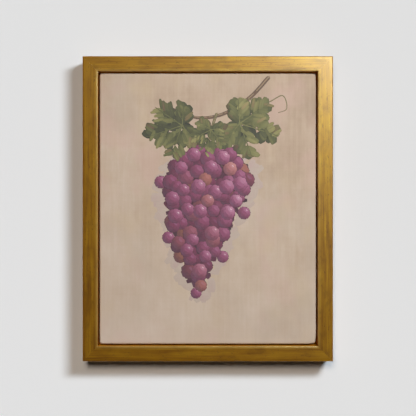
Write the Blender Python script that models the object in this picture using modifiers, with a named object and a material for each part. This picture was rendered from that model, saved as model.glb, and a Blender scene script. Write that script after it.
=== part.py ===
"""A framed canvas: an 8 by 10 inch stretched canvas in a gilded floater frame.

The picture faces -Y, +Z is up and X runs along the top rail, so -X is the viewer's left. The
origin is the point on the wall where the hanging nail comes out, in the middle notch of the
sawtooth hanger. The wall is the plane Y = 0 and the whole object stands in front of it.
Sizes are in metres.
"""

import math

import bmesh
import bpy
from mathutils import Matrix, Vector

# Driving dimensions

INCH = 0.0254
CANVAS_W = 8 * INCH
CANVAS_H = 10 * INCH
CLOTH_T = 0.0005
FOLD_R = 0.0020
RETURN_W = 0.0250
GAP = 0.0003

FLOAT_GAP = 0.0023
FACE_W = 0.0135
LEDGE_UNDER = 0.5 * INCH
FRAME_DEPTH = 0.0300
RECESS = 0.0025
OUTER_ARRIS_R = 0.0015
INNER_ARRIS_R = 0.0008
FOOT_R = 0.0010

BAR_W = 0.0380
BAR_DEPTH = 0.0180
BAR_LIP_W = 0.0080
BAR_SLOPE = 0.0030
BAR_TIP_CUT = 0.0012

HANGER_DROP = 0.0180
HANGER_L = 0.0480
HANGER_H = 0.0100
HANGER_T = 0.0008
HANGER_RAISE = 0.0018
HANGER_TAB = 0.0095
TOOTH_PITCH = 0.0025
TOOTH_DEPTH = 0.0015
TOOTH_COUNT = 9

BUMPER_R = 0.0060
BUMPER_T = 0.0032
BUMPER_IN = 0.0320
BUMPER_EDGE_R = 0.0006

SCREW_R = 0.00175
SCREW_HEAD_R = 0.0035
SCREW_HEAD_H = 0.0022
SCREW_HEAD_EDGE = 0.0012
SCREW_L = 0.0190
SCREW_TIP_L = 0.0035
RECESS_SPAN = 0.0036
RECESS_W = 0.0009
RECESS_DEEP = 0.0013

NAIL_R = 0.0007
NAIL_HEAD_R = 0.0018
NAIL_HEAD_TOP_R = 0.0014
NAIL_HEAD_T = 0.0006
NAIL_L = 0.0110

STAPLE_W = 0.0100
STAPLE_LEG = 0.0080
STAPLE_T = 0.0005
STAPLE_WIRE_W = 0.0012
STAPLE_IN = 0.0190
FOLD_STAPLE_IN = 0.0188
FOLD_STAPLE_UP = 0.0020

V_NAIL_LEG = 0.0045
V_NAIL_T = 0.0006
V_NAIL_DEEP = 0.0080
FRAME_V_NAIL_IN = 0.0080
BAR_V_NAIL_IN = 0.0110

# Places that follow from them

OUTER_W = CANVAS_W + 2 * (FLOAT_GAP + FACE_W)
OUTER_H = CANVAS_H + 2 * (FLOAT_GAP + FACE_W)
MOULDING_W = FACE_W + FLOAT_GAP + LEDGE_UNDER
BAR_SPAN_W = CANVAS_W - 2 * (CLOTH_T + GAP)
BAR_SPAN_H = CANVAS_H - 2 * (CLOTH_T + GAP)
CENTRE_Z = HANGER_DROP - OUTER_H / 2

FRAME_BACK = -(BUMPER_T + GAP)
FRAME_FRONT = FRAME_BACK - FRAME_DEPTH
CANVAS_FRONT = FRAME_FRONT + RECESS
BAR_FRONT = CANVAS_FRONT + CLOTH_T + GAP
BAR_BACK = BAR_FRONT + BAR_DEPTH
CANVAS_BACK = BAR_BACK + GAP + CLOTH_T
FLAP_BACK = CANVAS_BACK + CLOTH_T
LEDGE_FRONT = FLAP_BACK + GAP

SCREW_IN = CANVAS_W / 2 - LEDGE_UNDER / 2
SCREW_UP = CANVAS_H / 2 - LEDGE_UNDER / 2
MITRE_PULL = GAP / math.sqrt(2)

# The corners of the picture, as signs along X and Z
CORNERS = {
    "top_left": (-1, 1),
    "top_right": (1, 1),
    "bottom_right": (1, -1),
    "bottom_left": (-1, -1),
}
# The sides, as how far each is turned from the top one, clockwise as seen from the front
TURNS = {"top": 0, "right": 90, "bottom": 180, "left": 270}


def clear_scene():
    for old in list(bpy.data.objects):
        bpy.data.objects.remove(old)


def collection(name):
    made = bpy.data.collections.new(name)
    bpy.context.scene.collection.children.link(made)
    return made


def finish(name, colour, roughness, metallic=0.0):
    """A plain Principled material."""
    material = bpy.data.materials.new(name)
    material.use_nodes = True
    shader = material.node_tree.nodes["Principled BSDF"]
    shader.inputs["Base Color"].default_value = (*colour, 1.0)
    shader.inputs["Roughness"].default_value = roughness
    shader.inputs["Metallic"].default_value = metallic
    return material


def mesh_from(bm, name):
    """Turns a finished bmesh into a mesh with its faces pointing out."""
    bmesh.ops.recalc_face_normals(bm, faces=bm.faces)
    mesh = bpy.data.meshes.new(name)
    bm.to_mesh(mesh)
    bm.free()
    return mesh


def add_part(name, mesh, material, location=(0, 0, 0), rotation=(0, 0, 0)):
    """Adds one piece of the object. Pieces that repeat share their mesh."""
    if not mesh.materials:
        mesh.materials.append(material)
    part = bpy.data.objects.new(name, mesh)
    part.location = location
    part.rotation_euler = rotation
    PARTS.objects.link(part)
    return part


def add_cutter(name, mesh, location=(0, 0, 0), rotation=(0, 0, 0), group=None):
    """Adds a shape that cuts or joins others, and isn't shown. It goes with the cutters by default."""
    cutter = bpy.data.objects.new(name, mesh)
    cutter.location = location
    cutter.rotation_euler = rotation
    cutter.hide_render = True
    cutter.display_type = "WIRE"
    (group or CUTTERS).objects.link(cutter)
    return cutter


def boolean(target, other, operation):
    modifier = target.modifiers.new(operation.lower(), "BOOLEAN")
    modifier.operation = operation
    if isinstance(other, bpy.types.Collection):
        modifier.operand_type = "COLLECTION"
        modifier.collection = other
    else:
        modifier.object = other


def baked(part):
    """The part's mesh with its modifiers applied, welded, as a mesh of its own."""
    graph = bpy.context.evaluated_depsgraph_get()
    mesh = bpy.data.meshes.new_from_object(part.evaluated_get(graph))
    bm = bmesh.new()
    bm.from_mesh(mesh)
    bmesh.ops.remove_doubles(bm, verts=bm.verts, dist=1e-6)
    bm.to_mesh(mesh)
    bm.free()
    return mesh


def arc(centre, radius, start, end, steps=4):
    """Points along an arc of a section, from one angle to another, in degrees."""
    angles = [math.radians(start + (end - start) * i / steps) for i in range(steps + 1)]
    return [(centre[0] + radius * math.cos(a), centre[1] + radius * math.sin(a)) for a in angles]


def flat_mesh(name, outline, thickness):
    """A flat outline in local X and Y, thickened evenly to both sides along local Z."""
    curve = bpy.data.curves.new(name, "CURVE")
    curve.dimensions = "2D"
    curve.fill_mode = "BOTH"
    curve.extrude = thickness / 2
    spline = curve.splines.new("POLY")
    spline.points.add(len(outline) - 1)
    for point, (x, y) in zip(spline.points, outline):
        point.co = (x, y, 0, 1)
    spline.use_cyclic_u = True
    guide = bpy.data.objects.new(name, curve)
    bpy.context.scene.collection.objects.link(guide)
    mesh = baked(guide)
    mesh.name = name
    mesh.shade_flat()
    bpy.data.objects.remove(guide)
    return mesh


def cylinder_mesh(name, radius, length, sides=16):
    """A cylinder along Y whose middle is at its origin."""
    bm = bmesh.new()
    bmesh.ops.create_cone(
        bm,
        cap_ends=True,
        segments=sides,
        radius1=radius,
        radius2=radius,
        depth=length,
        matrix=Matrix.Rotation(math.pi / 2, 4, "X"),
    )
    return mesh_from(bm, name)


def box_in(bm, size, centre):
    """Adds a box to a bmesh."""
    place = Matrix.Translation(centre) @ Matrix.Diagonal((*size, 1))
    bmesh.ops.create_cube(bm, size=1, matrix=place)


# Mitred pieces: the frame's rails and the stretcher's bars


def mitred_mesh(name, section, half_length, half_width, tip_cut=0.0):
    """A straight piece along X with both ends mitred, as the top side of a picture.

    The section's points are (inward, y): how far in from the piece's outer edge, and the depth.
    The origin is the middle of the picture, and half_width is how far above it the edge lies.
    """
    bm = bmesh.new()
    ring = [bm.verts.new((-half_length, y, half_width - inward)) for inward, y in section]
    swept = bmesh.ops.extrude_face_region(bm, geom=[bm.faces.new(ring)])
    far_end = [v for v in swept["geom"] if isinstance(v, bmesh.types.BMVert)]
    bmesh.ops.translate(bm, verts=far_end, vec=(2 * half_length, 0, 0))
    for v in bm.verts:
        reach = half_length - (half_width - v.co.z) - MITRE_PULL
        v.co.x = math.copysign(reach, v.co.x)
    if tip_cut:
        for side in (-1, 1):
            cut_tip(bm, side, half_length, half_width, tip_cut)
    return mesh_from(bm, name)


def cut_tip(bm, side, half_length, half_width, tip_cut):
    """Takes the sharp outer corner off one mitred end, square to the mitre."""
    bmesh.ops.bisect_plane(
        bm,
        geom=[*bm.verts, *bm.edges, *bm.faces],
        plane_co=(side * (half_length - tip_cut), 0, half_width),
        plane_no=Vector((side, 0, 1)).normalized(),
        clear_outer=True,
    )
    bmesh.ops.holes_fill(bm, edges=[e for e in bm.edges if e.is_boundary])


def moulding_section():
    """The floater moulding: a tall wall with a face, and a ledge that carries the canvas."""
    outer, inner = OUTER_ARRIS_R, INNER_ARRIS_R
    return [
        *arc((FOOT_R, FRAME_BACK - FOOT_R), FOOT_R, 90, 180, 2),
        *arc((outer, FRAME_FRONT + outer), outer, 180, 270),
        *arc((FACE_W - inner, FRAME_FRONT + inner), inner, 270, 360, 3),
        (FACE_W, LEDGE_FRONT),
        (MOULDING_W, LEDGE_FRONT),
        (MOULDING_W, FRAME_BACK),
    ]


def bar_section():
    """A stretcher bar: its front slopes away, so that the cloth touches only the outer lip."""
    r = FOLD_R - CLOTH_T - GAP
    return [
        *arc((r, BAR_BACK - r), r, 90, 180, 3),
        *arc((r, BAR_FRONT + r), r, 180, 270, 3),
        (BAR_LIP_W, BAR_FRONT),
        (BAR_W, BAR_FRONT + BAR_SLOPE),
        (BAR_W, BAR_BACK),
    ]


def add_mitred_sides(names, section, span_w, span_h, material, tip_cut=0.0):
    """Adds four sides round the picture's middle, all cut for the screws, nails and staples."""
    across = mitred_mesh(names["top"], section, span_w / 2, span_h / 2, tip_cut)
    upright = mitred_mesh(names["left"], section, span_h / 2, span_w / 2, tip_cut)
    for side, turn in TURNS.items():
        mesh = across if side in ("top", "bottom") else upright
        turned = (0, math.radians(turn), 0)
        part = add_part(names[side], mesh, material, (0, 0, CENTRE_Z), turned)
        boolean(part, CUTTERS, "DIFFERENCE")


def add_frame():
    names = {
        "top": "rail_top",
        "bottom": "rail_bottom",
        "left": "stile_left",
        "right": "stile_right",
    }
    gilt = finish("gilded_wood", (0.42, 0.26, 0.07), 0.42, 0.85)
    add_mitred_sides(names, moulding_section(), OUTER_W, OUTER_H, gilt)


def add_stretcher():
    names = {side: f"bar_{side}" for side in TURNS}
    pine = finish("pine", (0.72, 0.53, 0.32), 0.65)
    section = bar_section()
    add_mitred_sides(names, section, BAR_SPAN_W, BAR_SPAN_H, pine, BAR_TIP_CUT)


# The cloth


def wrapped_cloth_mesh():
    """The outer surface of the canvas: front, four turned edges and the strip behind."""
    bm = bmesh.new()
    depth = CANVAS_BACK - CANVAS_FRONT
    middle = (0, (CANVAS_FRONT + CANVAS_BACK) / 2, CENTRE_Z)
    box_in(bm, (CANVAS_W, depth, CANVAS_H), middle)
    bmesh.ops.bevel(
        bm,
        geom=list(bm.edges),
        offset=FOLD_R,
        offset_type="OFFSET",
        affect="EDGES",
        segments=4,
        profile=0.5,
        material=-1,
    )
    bm.normal_update()
    back = max(bm.faces, key=lambda face: face.calc_center_median().y)
    strip = RETURN_W - FOLD_R
    bmesh.ops.inset_region(bm, faces=[back], thickness=strip, use_even_offset=True)
    bmesh.ops.delete(bm, geom=[back], context="FACES")
    return mesh_from(bm, "canvas")


def fold_flap_mesh():
    """The triangle of spare cloth that is folded over at a back corner, for the top left."""
    outer, inner = FOLD_R, RETURN_W - GAP
    outline = [(outer, -outer), (inner, -outer - GAP), (inner, -inner)]
    return flat_mesh("fold_flap", outline, 2 * CLOTH_T)


def add_canvas():
    """The cloth, with a flap at each back corner and holes for what is driven through it."""
    linen = finish("canvas_cloth", (0.62, 0.52, 0.43), 0.8)
    cloth = add_part("canvas", wrapped_cloth_mesh(), linen)
    thickness = cloth.modifiers.new("cloth", "SOLIDIFY")
    thickness.thickness = CLOTH_T
    thickness.offset = -1
    thickness.use_even_offset = True
    flap = fold_flap_mesh()
    for name, (side, up) in CORNERS.items():
        corner = (side * CANVAS_W / 2, CANVAS_BACK, CENTRE_Z + up * CANVAS_H / 2)
        fold = add_cutter(f"fold_{name}", flap, corner, (math.pi / 2, 0, 0), FOLDS)
        fold.scale = (-side, up, 1)
    boolean(cloth, FOLDS, "UNION")
    boolean(cloth, CUTTERS, "DIFFERENCE")


# Fasteners


def screw_mesh():
    """A pan-head wood screw with a crossed recess. It points down, with its head on the origin."""
    edge = SCREW_HEAD_EDGE
    profile = [
        (0, SCREW_HEAD_H),
        *arc((SCREW_HEAD_R - edge, SCREW_HEAD_H - edge), edge, 90, 0, 3),
        (SCREW_HEAD_R, 0),
        (SCREW_R, 0),
        (SCREW_R, -(SCREW_L - SCREW_TIP_L)),
        (0, -SCREW_L),
    ]
    head = turned_part("screw", profile, sides=20)
    for turn in (0, 90):
        bm = bmesh.new()
        box_in(bm, (RECESS_SPAN, RECESS_W, 2 * RECESS_DEEP), (0, 0, SCREW_HEAD_H))
        turned = (0, 0, math.radians(turn))
        slot = add_cutter(f"recess_{turn}", mesh_from(bm, "recess"), rotation=turned)
        boolean(head, slot, "DIFFERENCE")
    return taken_from(head, "screw")


def turned_part(name, profile, sides):
    """A scratch object turned about Z from (radius, height) points, listed from top to bottom."""
    bm = bmesh.new()
    points = [bm.verts.new((radius, 0, height)) for radius, height in profile]
    for upper, lower in zip(points, points[1:]):
        bm.edges.new((upper, lower))
    mesh = bpy.data.meshes.new(name)
    bm.to_mesh(mesh)
    bm.free()
    turned = bpy.data.objects.new(name, mesh)
    bpy.context.scene.collection.objects.link(turned)
    lathe = turned.modifiers.new("turn", "SCREW")
    lathe.steps = sides
    lathe.render_steps = sides
    lathe.use_merge_vertices = True
    lathe.merge_threshold = 0.00001
    return turned


def taken_from(scratch, name):
    """The finished mesh of a scratch object, which is removed with what cut it."""
    bpy.context.view_layer.update()
    mesh = baked(scratch)
    mesh.name = name
    mesh.shade_smooth()
    mesh.set_sharp_from_angle(angle=math.radians(35))
    others = [m.object for m in scratch.modifiers if m.type == "BOOLEAN"]
    for old in [*others, scratch]:
        bpy.data.objects.remove(old)
    return mesh


def screw_places():
    """Two screws in each side, at a quarter of its length from the middle."""
    across, up = CANVAS_W / 4, CANVAS_H / 4
    return {
        "top_left": (-across, SCREW_UP),
        "top_right": (across, SCREW_UP),
        "right_upper": (SCREW_IN, up),
        "right_lower": (SCREW_IN, -up),
        "bottom_right": (across, -SCREW_UP),
        "bottom_left": (-across, -SCREW_UP),
        "left_lower": (-SCREW_IN, -up),
        "left_upper": (-SCREW_IN, up),
    }


def add_screws():
    zinc = finish("zinc_steel", (0.55, 0.56, 0.58), 0.35, 1.0)
    mesh = screw_mesh()
    reach = SCREW_L + 2 * GAP
    hole = cylinder_mesh("screw_hole", SCREW_R + GAP, reach)
    seat = FRAME_BACK + GAP
    for name, (x, z) in screw_places().items():
        add_part(f"screw_{name}", mesh, zinc, (x, seat, CENTRE_Z + z), (-math.pi / 2, 0, 0))
        middle = seat + GAP - reach / 2
        add_cutter(f"screw_hole_{name}", hole, (x, middle, CENTRE_Z + z))


def nail_mesh():
    profile = [
        (0, NAIL_HEAD_T),
        (NAIL_HEAD_TOP_R, NAIL_HEAD_T),
        (NAIL_HEAD_R, NAIL_HEAD_T / 2),
        (NAIL_HEAD_R, 0),
        (NAIL_R, 0),
        (NAIL_R, -NAIL_L + 2 * NAIL_R),
        (0, -NAIL_L),
    ]
    return taken_from(turned_part("nail", profile, sides=14), "nail")


def add_hanger():
    """A sawtooth hanger: a strip with nailed ends and a raised, notched middle, and its nails."""
    brass = finish("brass_plated_steel", (0.62, 0.45, 0.20), 0.35, 1.0)
    strip = add_part("sawtooth_hanger", hanger_strip_mesh(), brass)
    strip.location = (0, FRAME_BACK + GAP, HANGER_H / 2 - TOOTH_DEPTH)
    nail = nail_mesh()
    nail_x = (HANGER_L - HANGER_TAB) / 2
    hole = cylinder_mesh("hanger_nail_hole", NAIL_R + GAP, 2 * NAIL_L)
    for side, name in ((-1, "left"), (1, "right")):
        under_head = FRAME_BACK + GAP + HANGER_T + GAP
        place = Vector((side * nail_x, under_head, strip.location.z))
        add_part(f"hanger_nail_{name}", nail, brass, place, (-math.pi / 2, 0, 0))
        cut = add_cutter(f"hanger_nail_hole_{name}", hole, place)
        boolean(strip, cut, "DIFFERENCE")
    notch = flat_mesh("notch", notch_outline(), 4 * HANGER_RAISE)
    first = -(TOOTH_COUNT - 1) / 2 * TOOTH_PITCH
    for i in range(TOOTH_COUNT):
        place = (first + i * TOOTH_PITCH, FRAME_BACK, 0)
        add_cutter(f"notch_{i}", notch, place, (math.pi / 2, 0, 0), NOTCHES)
    boolean(strip, NOTCHES, "DIFFERENCE")


def hanger_strip_mesh():
    """The bent strip, drawn along its length as seen from above and extruded by its height."""
    bend = HANGER_RAISE
    inner = HANGER_L / 2 - HANGER_TAB
    front = [
        (-HANGER_L / 2, 0),
        (-inner, 0),
        (-inner + bend, HANGER_RAISE),
        (inner - bend, HANGER_RAISE),
        (inner, 0),
        (HANGER_L / 2, 0),
    ]
    back = [(x, y + HANGER_T) for x, y in reversed(front)]
    return flat_mesh("sawtooth_strip", front + back, HANGER_H)


def notch_outline():
    """One notch of the sawtooth edge, its tip on the origin, running out below the strip."""
    half = TOOTH_PITCH / 2 - GAP / 2
    below = -2 * TOOTH_DEPTH
    return [(0, 0), (-half, -TOOTH_DEPTH), (-half, below), (half, below), (half, -TOOTH_DEPTH)]


def add_bumpers():
    rubber = finish("clear_rubber", (0.62, 0.61, 0.58), 0.4)
    mesh = cylinder_mesh("bumper", BUMPER_R, BUMPER_T, sides=32)
    up = -OUTER_H / 2 + MOULDING_W / 2
    for side, name in ((-1, "left"), (1, "right")):
        place = (side * (OUTER_W / 2 - BUMPER_IN), -BUMPER_T / 2, CENTRE_Z + up)
        bumper = add_part(f"bumper_{name}", mesh, rubber, place)
        rim = bumper.modifiers.new("rim", "BEVEL")
        rim.width = BUMPER_EDGE_R
        rim.segments = 3
        rim.limit_method = "ANGLE"
        rim.angle_limit = math.radians(60)


def staple_mesh():
    """A staple seen from its side: legs down along Y, its crown's top on the origin."""
    half, t = STAPLE_W / 2, STAPLE_T
    outline = [
        (-half, 0),
        (-half, -STAPLE_LEG),
        (-half + t, -STAPLE_LEG),
        (-half + t, -t),
        (half - t, -t),
        (half - t, -STAPLE_LEG),
        (half, -STAPLE_LEG),
        (half, 0),
    ]
    return flat_mesh("staple", outline, STAPLE_WIRE_W)


def staple_hole_mesh():
    """Two slots, a little larger than the legs of a staple and a little deeper."""
    bm = bmesh.new()
    size = (STAPLE_T + 2 * GAP, STAPLE_LEG + GAP, STAPLE_WIRE_W + 2 * GAP)
    for side in (-1, 1):
        x = side * (STAPLE_W - STAPLE_T) / 2
        box_in(bm, size, (x, -(STAPLE_LEG + GAP) / 2, 0))
    return mesh_from(bm, "staple_hole")


def staple_places():
    """Name, x, z, turn in degrees and the y of the cloth that each staple holds down."""
    across = CANVAS_W / 2 - STAPLE_IN
    up = CANVAS_H / 2 - STAPLE_IN
    places = []
    for i, x in enumerate((-CANVAS_W / 5, 0, CANVAS_W / 5)):
        places.append((f"top_{i + 1}", x, up, 0, CANVAS_BACK))
        places.append((f"bottom_{i + 1}", x, -up, 0, CANVAS_BACK))
    for i, z in enumerate((CANVAS_H / 4, 0, -CANVAS_H / 4)):
        places.append((f"left_{i + 1}", -across, z, 90, CANVAS_BACK))
        places.append((f"right_{i + 1}", across, z, 90, CANVAS_BACK))
    for name, (side, sign) in CORNERS.items():
        x = side * (CANVAS_W / 2 - FOLD_STAPLE_IN)
        z = sign * (CANVAS_H / 2 - FOLD_STAPLE_IN + FOLD_STAPLE_UP)
        places.append((f"fold_{name}", x, z, -45 * side * sign, FLAP_BACK))
    return places


def add_staples():
    wire = finish("staple_wire", (0.60, 0.60, 0.60), 0.3, 1.0)
    mesh, hole = staple_mesh(), staple_hole_mesh()
    for name, x, z, turn, cloth_y in staple_places():
        crown_top = cloth_y + GAP + STAPLE_T
        turned = (0, math.radians(turn), 0)
        add_part(f"staple_{name}", mesh, wire, (x, crown_top, CENTRE_Z + z), turned)
        add_cutter(f"staple_hole_{name}", hole, (x, crown_top, CENTRE_Z + z), turned)


def v_outline(leg, thickness):
    """A V with its point on the origin, opening towards +X, all of it the same thickness."""
    run = leg / math.sqrt(2)
    tip = thickness / math.sqrt(2)
    side = tip / 2
    return [
        (-tip, 0),
        (run - side, -run - side),
        (run + side, -run + side),
        (tip, 0),
        (run + side, run - side),
        (run - side, run + side),
    ]


def add_v_nails():
    """One V-nail across each mitre of the frame and of the stretcher, driven from behind."""
    steel = finish("dark_steel", (0.30, 0.30, 0.31), 0.4, 1.0)
    nail = flat_mesh("v_nail", v_outline(V_NAIL_LEG, V_NAIL_T), V_NAIL_DEEP)
    wide = V_NAIL_T + 2 * GAP
    slot = flat_mesh("v_slot", v_outline(V_NAIL_LEG + GAP, wide), V_NAIL_DEEP + 2 * GAP)
    rows = (
        ("frame", OUTER_W / 2, OUTER_H / 2, FRAME_V_NAIL_IN, FRAME_BACK),
        ("bar", BAR_SPAN_W / 2, BAR_SPAN_H / 2, BAR_V_NAIL_IN, BAR_BACK),
    )
    for kind, half_w, half_h, inward, back in rows:
        for name, (side, up) in CORNERS.items():
            x = side * (half_w - inward)
            z = CENTRE_Z + up * (half_h - inward)
            middle = back - V_NAIL_DEEP / 2
            # Local Z lies along -Y, and the V opens towards the outer corner.
            turned = (math.pi / 2, -math.atan2(up, side), 0)
            add_part(f"{kind}_v_nail_{name}", nail, steel, (x, middle, z), turned)
            add_cutter(f"{kind}_v_slot_{name}", slot, (x, middle, z), turned)


clear_scene()
PARTS = collection("framed_canvas")
CUTTERS = collection("cutters")
NOTCHES = collection("cutters_hanger")
FOLDS = collection("folds_joined_to_canvas")

add_screws()
add_hanger()
add_bumpers()
add_staples()
add_v_nails()
add_frame()
add_stretcher()
add_canvas()
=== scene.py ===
# %% [markdown]
# # A small canvas in a gilded floater frame
# A floater frame is an L-shaped moulding. The canvas sits on the ledge behind and its edge stands
# a little way clear of the gilded wall, so that it seems to float. This lesson dresses the solids
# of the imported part: four gilded sides, one stretched cloth, an oil painting laid on in strokes,
# and the wood and metal that only the back shows.

import math
import random

import bmesh
import bpy
import numpy as np
from mathutils import Matrix, Vector, noise


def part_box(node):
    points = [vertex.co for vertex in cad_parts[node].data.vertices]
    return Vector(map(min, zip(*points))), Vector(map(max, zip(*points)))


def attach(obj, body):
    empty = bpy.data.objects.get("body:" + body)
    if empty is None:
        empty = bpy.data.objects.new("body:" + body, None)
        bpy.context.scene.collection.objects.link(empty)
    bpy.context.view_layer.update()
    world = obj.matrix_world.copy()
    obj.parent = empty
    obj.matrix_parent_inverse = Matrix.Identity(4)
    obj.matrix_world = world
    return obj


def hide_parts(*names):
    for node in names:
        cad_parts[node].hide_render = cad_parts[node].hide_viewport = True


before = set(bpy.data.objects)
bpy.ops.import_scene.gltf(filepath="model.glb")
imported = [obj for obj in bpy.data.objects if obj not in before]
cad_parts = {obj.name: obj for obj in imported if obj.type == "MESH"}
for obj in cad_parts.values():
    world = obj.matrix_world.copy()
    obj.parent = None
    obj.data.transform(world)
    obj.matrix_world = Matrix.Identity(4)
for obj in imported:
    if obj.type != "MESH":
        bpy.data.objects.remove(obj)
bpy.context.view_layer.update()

# %% [markdown]
# The part's own sizes are repeated here, because a piece that stands for a solid has to lie where
# the solid lies. Everything is in metres: X runs along the top of the frame, Z is up, the picture
# faces -Y and the wall is the plane Y = 0.

# %% Sizes taken from the part
MM = 0.001
WHITE = (1.0, 1.0, 1.0)
FOLD_RADIUS = 2.0 * MM
CLOTH_THICK = 0.5 * MM
RETURN_WIDTH = 25.0 * MM
FACE_WIDTH = 14.2 * MM
OUTER_ARRIS = 1.0 * MM
INNER_ARRIS = 0.7 * MM
FOOT_ROUND = 1.0 * MM

rail_low, rail_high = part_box("rail_top")
cloth_low, cloth_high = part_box("canvas")
bar_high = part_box("bar_top")[1]
OUTER_W = rail_high.x - rail_low.x
CANVAS_W = cloth_high.x - cloth_low.x
CANVAS_H = cloth_high.z - cloth_low.z
CENTRE_Z = (cloth_high.z + cloth_low.z) / 2
OUTER_H = 2 * (rail_high.z - CENTRE_Z)
FRAME_FRONT, FRAME_BACK = rail_low.y, rail_high.y
CANVAS_FRONT = cloth_low.y
CANVAS_BACK = bar_high.y + 0.8 * MM
LEDGE_FRONT = CANVAS_BACK + 0.8 * MM
MOULDING_W = rail_high.z - rail_low.z
print(f"frame {OUTER_W / MM:.1f} x {OUTER_H / MM:.1f} mm, moulding {MOULDING_W / MM:.1f} mm wide")
print(f"canvas {CANVAS_W / MM:.1f} x {CANVAS_H / MM:.1f} mm, front at {CANVAS_FRONT / MM:.1f} mm")

# %% [markdown]
# Shader maths reads better as sums than as boxes and wires. This small class wraps the output
# socket of a node, so that `tone * 0.4 + 0.1` adds the two Math nodes by itself. The reflected
# forms, such as __rsub__, make `1 - mask` work as well.


# %% A socket that does sums
class Tone:
    """A number that varies over a surface: the output socket of some node."""

    def __init__(self, finish, socket):
        self.finish = finish
        self.socket = socket

    def maths(self, operation, *values, clamp=False):
        settings = {"operation": operation, "use_clamp": clamp}
        return self.finish.add("Math", settings, dict(enumerate(values)))

    def __add__(self, other):
        return self.maths("ADD", self, other)

    def __radd__(self, other):
        return self.maths("ADD", other, self)

    def __sub__(self, other):
        return self.maths("SUBTRACT", self, other)

    def __rsub__(self, other):
        return self.maths("SUBTRACT", other, self)

    def __mul__(self, other):
        return self.maths("MULTIPLY", self, other)

    def __truediv__(self, other):
        return self.maths("DIVIDE", self, other)

    def sine(self):
        return self.maths("SINE", self)

    def limited(self):
        return self.maths("ADD", self, 0.0, clamp=True)

    def largest(self, other):
        return self.maths("MAXIMUM", self, other)

    def between(self, low, high):
        """A mask that is 0 up to low, 1 from high, and smooth in between."""
        return self.finish.add(
            "MapRange", {"interpolation_type": "SMOOTHSTEP"}, {0: self, 1: low, 2: high}
        )


# %% [markdown]
# A finish is one Principled material. `add` puts in any other node: its settings are made first,
# then its sockets get their values or links. Colours go through Mix nodes, because a Math node
# would turn them grey. Patterns read the object's own coordinates, in metres, so the grain of a
# rail and the thread of a cloth have their true size. Wood and metal leaf have a direction, which
# a finish is told once, as the axis it runs along.


# %% A finish and its nodes
class Finish:
    """A material that is built from sums of textures."""

    def __init__(self, name, along="Z"):
        self.along = along
        self.material = bpy.data.materials.new(name)
        self.material.use_nodes = True
        self.nodes = self.material.node_tree.nodes
        self.links = self.material.node_tree.links
        self.shader = self.nodes["Principled BSDF"]
        self.place = self.add("TexCoord", output="Object")

    def add(self, kind, settings=None, values=None, output=0):
        """Adds a node. Settings are made first, then the sockets get their values or links."""
        node = self.nodes.new("ShaderNode" + kind)
        for name, value in (settings or {}).items():
            if name == "stops":
                self.set_stops(node.color_ramp, value)
            else:
                setattr(node, name, value)
        for key, value in (values or {}).items():
            self.feed(node.inputs[key], value)
        return Tone(self, node.outputs[output])

    def set_stops(self, ramp, stops):
        while len(ramp.elements) < len(stops):
            ramp.elements.new(0.5)
        for element, (position, colour) in zip(ramp.elements, stops):
            element.position = position
            element.color = (*colour, 1.0)

    def feed(self, socket, value):
        if isinstance(value, Tone):
            self.links.new(value.socket, socket)
        elif isinstance(value, tuple) and len(value) == 3 and socket.type == "RGBA":
            socket.default_value = (*value, 1.0)
        else:
            socket.default_value = value

    def colour(self, factor, first, second):
        """A colour the given share of the way from one to another."""
        settings = {"data_type": "RGBA", "clamp_factor": True}
        return self.add("Mix", settings, {0: factor, 6: first, 7: second}, 2)

    def ramp(self, tone, stops):
        return self.add("ValToRGB", {"stops": stops}, {0: tone}, "Color")

    def axes(self):
        """The three coordinates of a place, as tones."""
        split = self.add("SeparateXYZ", None, {0: self.place})
        return [Tone(self, output) for output in split.socket.node.outputs]

    def stored(self, name, output="Fac"):
        """A value or colour that the mesh keeps at each of its points."""
        return self.add("Attribute", {"attribute_name": name}, None, output)

    def cloud(self, scale, detail=2.0, rough=0.5, shift=(0.0, 0.0, 0.0), vector=None):
        """Smooth noise round 0.5, with scale repeats per metre along each axis."""
        if not isinstance(scale, tuple):
            scale = (scale, scale, scale)
        place = self.add("Mapping", None, {0: vector or self.place, 1: shift, 3: scale})
        values = {"Vector": place, "Scale": 1.0, "Detail": detail, "Roughness": rough}
        return self.add("TexNoise", None, values)

    def grain(self, lengthwise, crosswise, shift, detail=2.0, rough=0.5):
        """A cloud with other repeats per metre along the finish than across it."""
        scale = (crosswise, crosswise, lengthwise)
        if self.along == "X":
            scale = (lengthwise, crosswise, crosswise)
        return self.cloud(scale, detail, rough, shift)

    def bump(self, height, strength, distance):
        values = {"Strength": strength, "Distance": distance, "Height": height}
        return self.add("Bump", None, values)

    def set(self, **values):
        """Feeds the Principled shader. A name's underscores stand for spaces."""
        for name, value in values.items():
            self.feed(self.shader.inputs[name.replace("_", " ").title()], value)


# %% [markdown]
# Colours are written as they look on a screen, from 0 to 255, while the shader wants linear
# light. Under these lamps matt paint shows a fifth brighter than its own colour, so paint is made
# darker than it should look by that much.


# %% Colours
def srgb(red, green, blue):
    """A colour from its 0 to 255 values, as linear light."""
    return tuple(
        c / 12.92 if c <= 0.04045 else ((c + 0.055) / 1.055) ** 2.4
        for c in (red / 255, green / 255, blue / 255)
    )


LAMP_GAIN = 1.20


def pigment(red, green, blue):
    """A paint's own colour, from how it looks under these lamps."""
    return tuple(c / LAMP_GAIN for c in srgb(red, green, blue))


print("blush paint is", [round(c, 3) for c in pigment(198, 179, 162)])
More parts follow.
